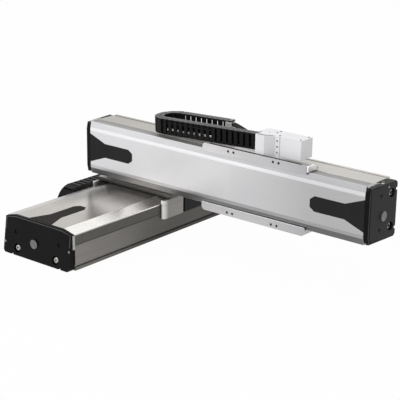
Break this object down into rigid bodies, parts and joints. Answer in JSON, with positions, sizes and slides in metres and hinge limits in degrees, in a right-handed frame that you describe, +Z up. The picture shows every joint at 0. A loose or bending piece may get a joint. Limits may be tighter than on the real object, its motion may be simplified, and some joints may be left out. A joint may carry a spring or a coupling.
{
  "type": "two-axis linear stage",
  "caption": "Two enclosed linear stages stacked crosswise, the upper on its side, each with a carriage, a cable chain and a junction box.",
  "frame": {"origin": "centre of the lower base's bottom face", "axes": "+X along the lower stage's travel, +Y across it towards its cable chain, +Z up; the upper stage travels along Y and its cover faces -X"},
  "size_m": [0.984, 0.9957, 0.3577],
  "materials": {
    "cover_aluminium": "clear satin anodised sheet",
    "wall_aluminium": "grey anodised, drawn along its length",
    "flange_aluminium": "milled, clear anodised",
    "cap_charcoal": "charcoal powder coat, fine grain",
    "inlay_black": "warm black matt film",
    "skirt_black": "black anodised",
    "screw_steel": "zinc plated",
    "rail_steel": "ground",
    "magnet_nickel": "nickel plated",
    "coil_resin": "cast resin",
    "seal_rubber": "matt",
    "clamp_grey": "moulded light grey",
    "chain_black": "glass filled, slightly worn edges",
    "box_white": "white powder coat"
  },
  "bodies": {
    "base": {"lower_base": "wall_aluminium", "lower_cover": "cover_aluminium", "lower_cap_far": "cap_charcoal", "lower_cap_near": "cap_charcoal", "lower_cap_screws": "screw_steel", "lower_inlays": "inlay_black", "lower_rails": "rail_steel", "lower_magnet_track": "magnet_nickel", "lower_slot_seals": "seal_rubber", "lower_seal_clamps": "clamp_grey", "lower_bumpers": "seal_rubber", "lower_scale": "rail_steel", "lower_chain_fixed": "chain_black", "lower_chain_clamp": "screw_steel"},
    "lower_carriage": {"lower_bearing_blocks": "rail_steel", "lower_coil": "coil_resin", "lower_saddle": "wall_aluminium", "lower_read_head": "cap_charcoal", "lower_chain_moving": "chain_black", "lower_box_bracket": "box_white", "lower_box_body": "box_white", "lower_box_lid": "box_white", "lower_box_screws": "screw_steel", "lower_flange_front": "flange_aluminium", "lower_flange_chain": "flange_aluminium", "lower_side_skirts": "skirt_black", "cross_plate": "skirt_black", "riser": "skirt_black", "back_plate": "skirt_black", "gussets": "skirt_black", "bracket_bolts": "screw_steel", "upper_base": "wall_aluminium", "upper_cover": "cover_aluminium", "upper_cap_far": "cap_charcoal", "upper_cap_near": "cap_charcoal", "upper_cap_screws": "screw_steel", "upper_inlays": "inlay_black", "upper_rails": "rail_steel", "upper_magnet_track": "magnet_nickel", "upper_slot_seals": "seal_rubber", "upper_seal_clamps": "clamp_grey", "upper_bumpers": "seal_rubber", "upper_scale": "rail_steel", "upper_chain_fixed": "chain_black", "upper_chain_clamp": "screw_steel", "upper_cables": "seal_rubber"},
    "upper_carriage": {"upper_bearing_blocks": "rail_steel", "upper_coil": "coil_resin", "upper_saddle": "wall_aluminium", "upper_read_head": "cap_charcoal", "upper_chain_moving": "chain_black", "upper_box_bracket": "box_white", "upper_box_body": "box_white", "upper_box_lid": "box_white", "upper_box_screws": "screw_steel", "upper_flange_low": "flange_aluminium", "upper_flange_chain": "flange_aluminium", "upper_end_block": "box_white"},
    "lower_chain_bend": {"lower_chain_bend": "chain_black"},
    "upper_chain_bend": {"upper_chain_bend": "chain_black"}
  },
  "joints": [
    {"name": "lower_slide", "type": "slide", "parent": "base", "child": "lower_carriage", "axis": [1, 0, 0], "range_m": [-0.33, 0.262], "deforming": ["lower_chain_moving", "lower_chain_fixed"]},
    {"name": "upper_slide", "type": "slide", "parent": "lower_carriage", "child": "upper_carriage", "axis": [0, -1, 0], "range_m": [-0.395, 0.16], "deforming": ["upper_chain_moving", "upper_chain_fixed"]},
    {"name": "lower_chain_follow", "type": "slide", "parent": "base", "child": "lower_chain_bend", "axis": [1, 0, 0], "range_m": [-0.166, 0.132]},
    {"name": "upper_chain_follow", "type": "slide", "parent": "lower_carriage", "child": "upper_chain_bend", "axis": [0, -1, 0], "range_m": [-0.1985, 0.081]}
  ],
  "couplings": [
    {"joint": "lower_chain_follow", "follows": "lower_slide", "ratio": 0.5},
    {"joint": "upper_chain_follow", "follows": "upper_slide", "ratio": 0.5}
  ]
}
